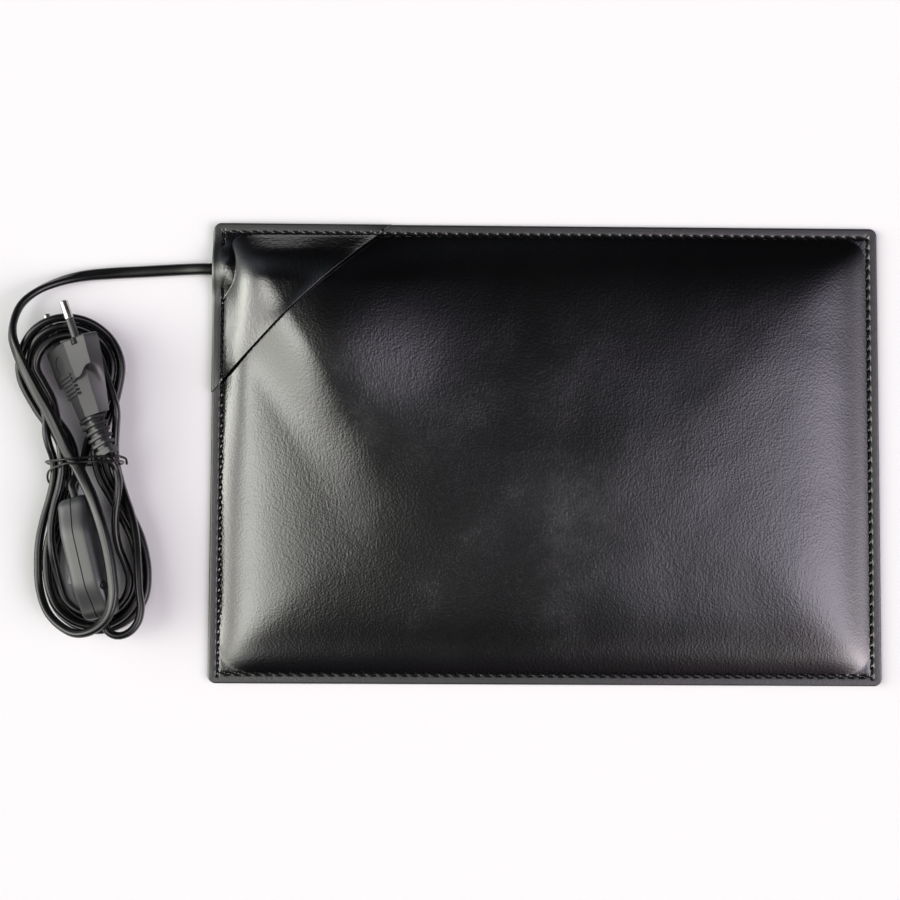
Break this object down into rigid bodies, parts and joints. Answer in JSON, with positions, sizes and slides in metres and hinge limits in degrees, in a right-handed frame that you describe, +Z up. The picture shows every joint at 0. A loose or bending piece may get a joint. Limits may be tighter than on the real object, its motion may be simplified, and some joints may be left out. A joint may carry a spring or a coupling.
{
  "type": "heated mouse pad",
  "caption": "Black leatherette heated mouse pad with a sewn corner flap, a hanked flat mains cord, an inline rocker switch and a two-pin plug.",
  "frame": {"origin": "centre of the mat's underside", "axes": "+X along the mat's long side to its right, +Y across the mat to the side with the flap, +Z up out of the mat"},
  "size_m": [0.4145, 0.22, 0.0355],
  "materials": {
    "leather": "glossy fine-grained leatherette",
    "felt": "matte needled felt",
    "carrier_cloth": "matte woven cloth",
    "heating_wire": "matte silicone sheath",
    "foam": "matte foam sheet",
    "cord_sheath": "semi-gloss black PVC",
    "black_plastic": "satin black plastic",
    "grey_plastic": "matte grey plastic",
    "white_plastic": "satin off-white plastic",
    "nickel": "bright nickel plate",
    "brass": "plain brass",
    "steel": "plated steel",
    "core_brown": "smooth brown insulation",
    "core_blue": "smooth blue insulation"
  },
  "bodies": {
    "mat_and_cord": {"bottom_cover": "leather", "top_cover": "leather", "corner_flap": "leather", "insulation_felt": "felt", "heater_carrier": "carrier_cloth", "heating_wire": "heating_wire", "padding_sheet": "foam", "cord_tail": "cord_sheath", "cord_lead": "cord_sheath", "cord_hank": "cord_sheath", "cord_to_plug": "cord_sheath", "wire_tie": "cord_sheath", "switch_upper_shell": "black_plastic", "switch_lower_shell": "black_plastic", "plug_body": "black_plastic", "plug_pin_bridge": "black_plastic", "pin_sleeve_live": "black_plastic", "pin_sleeve_neutral": "black_plastic", "plug_strain_relief": "black_plastic", "cord_grip": "grey_plastic", "thermal_cutout": "grey_plastic", "terminal_box_base": "white_plastic", "terminal_box_lid": "white_plastic", "plug_pin_live": "nickel", "plug_pin_neutral": "nickel", "live_terminal_in": "brass", "live_terminal_out": "brass", "neutral_link": "brass", "splice_live": "steel", "splice_neutral": "steel", "switch_shell_screw_1": "steel", "switch_shell_screw_2": "steel", "rocker_pin": "steel", "terminal_screw_1": "steel", "terminal_screw_2": "steel", "terminal_screw_3": "steel", "terminal_screw_4": "steel", "core_live": "core_brown", "core_neutral": "core_blue"},
    "rocker": {"switch_rocker": "black_plastic", "contact_plunger": "grey_plastic"},
    "contact_blade": {"contact_blade": "brass"}
  },
  "joints": [
    {"name": "rocker_hinge", "type": "hinge", "parent": "mat_and_cord", "child": "rocker", "pos_m": [-0.21745, -0.05454, 0.01791], "axis": [0.2836, 0.071, -0.9563], "range_deg": [-16, 0]},
    {"name": "blade_hinge", "type": "hinge", "parent": "mat_and_cord", "child": "contact_blade", "pos_m": [-0.21183, -0.05313, 0.01968], "axis": [0.2836, 0.071, -0.9563], "range_deg": [0, 8]}
  ],
  "couplings": [
    {"joint": "blade_hinge", "follows": "rocker_hinge", "ratio": -0.5}
  ]
}
